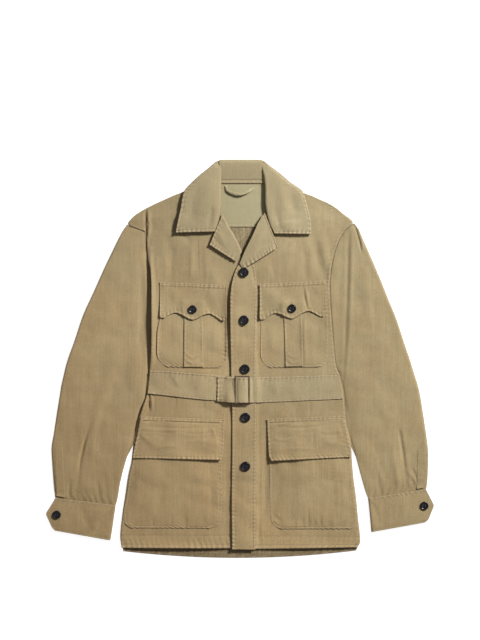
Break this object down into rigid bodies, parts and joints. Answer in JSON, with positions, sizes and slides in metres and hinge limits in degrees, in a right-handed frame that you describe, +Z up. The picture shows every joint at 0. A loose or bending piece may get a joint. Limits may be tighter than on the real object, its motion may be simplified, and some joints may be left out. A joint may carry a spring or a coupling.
{
  "type": "belted jacket",
  "caption": "Belted cotton jacket with an open collar, buttoned front band, flapped chest and hip pockets, slide-buckle belt and buttoned cuffs, laid flat on its back.",
  "frame": {"origin": "middle of the jacket's outline, on the surface that it lies on", "axes": "+Z up from the surface, +Y from the hem to the collar, +X to the wearer's left"},
  "size_m": [0.7936, 0.8159, 0.0179],
  "materials": {
    "cloth": "khaki cotton twill, dry and slightly napped",
    "lining": "plain khaki cotton",
    "button": "near-black, polished rim",
    "buckle": "aged, dull"
  },
  "bodies": {
    "root": {"back": "cloth", "back_yoke": "lining", "front_right": "cloth", "front_left": "cloth", "front_band": "cloth", "lapel_right": "cloth", "lapel_left": "cloth", "collar_right": "cloth", "collar_left": "cloth", "collar_back": "cloth", "hanger_loop": "lining", "chest_pocket_right": "cloth", "chest_pocket_left": "cloth", "chest_pleat_right": "cloth", "chest_pleat_left": "cloth", "chest_flap_right": "cloth", "chest_flap_left": "cloth", "hip_pocket_right": "cloth", "hip_pocket_left": "cloth", "hip_flap_right": "cloth", "hip_flap_left": "cloth", "belt_right": "cloth", "belt_left": "cloth", "belt_back": "cloth", "buckle": "buckle", "sleeve_right_top": "cloth", "sleeve_right_under": "cloth", "sleeve_left_top": "cloth", "sleeve_left_under": "cloth", "sleeve_placket_right": "cloth", "sleeve_placket_left": "cloth", "cuff_right": "cloth", "cuff_right_under": "cloth", "cuff_left": "cloth", "cuff_left_under": "cloth", "front_button_1": "button", "front_button_2": "button", "front_button_3": "button", "front_button_4": "button", "front_button_5": "button", "flap_button_right": "button", "flap_button_left": "button", "cuff_button_right": "button", "cuff_button_left": "button"}
  },
  "joints": []
}
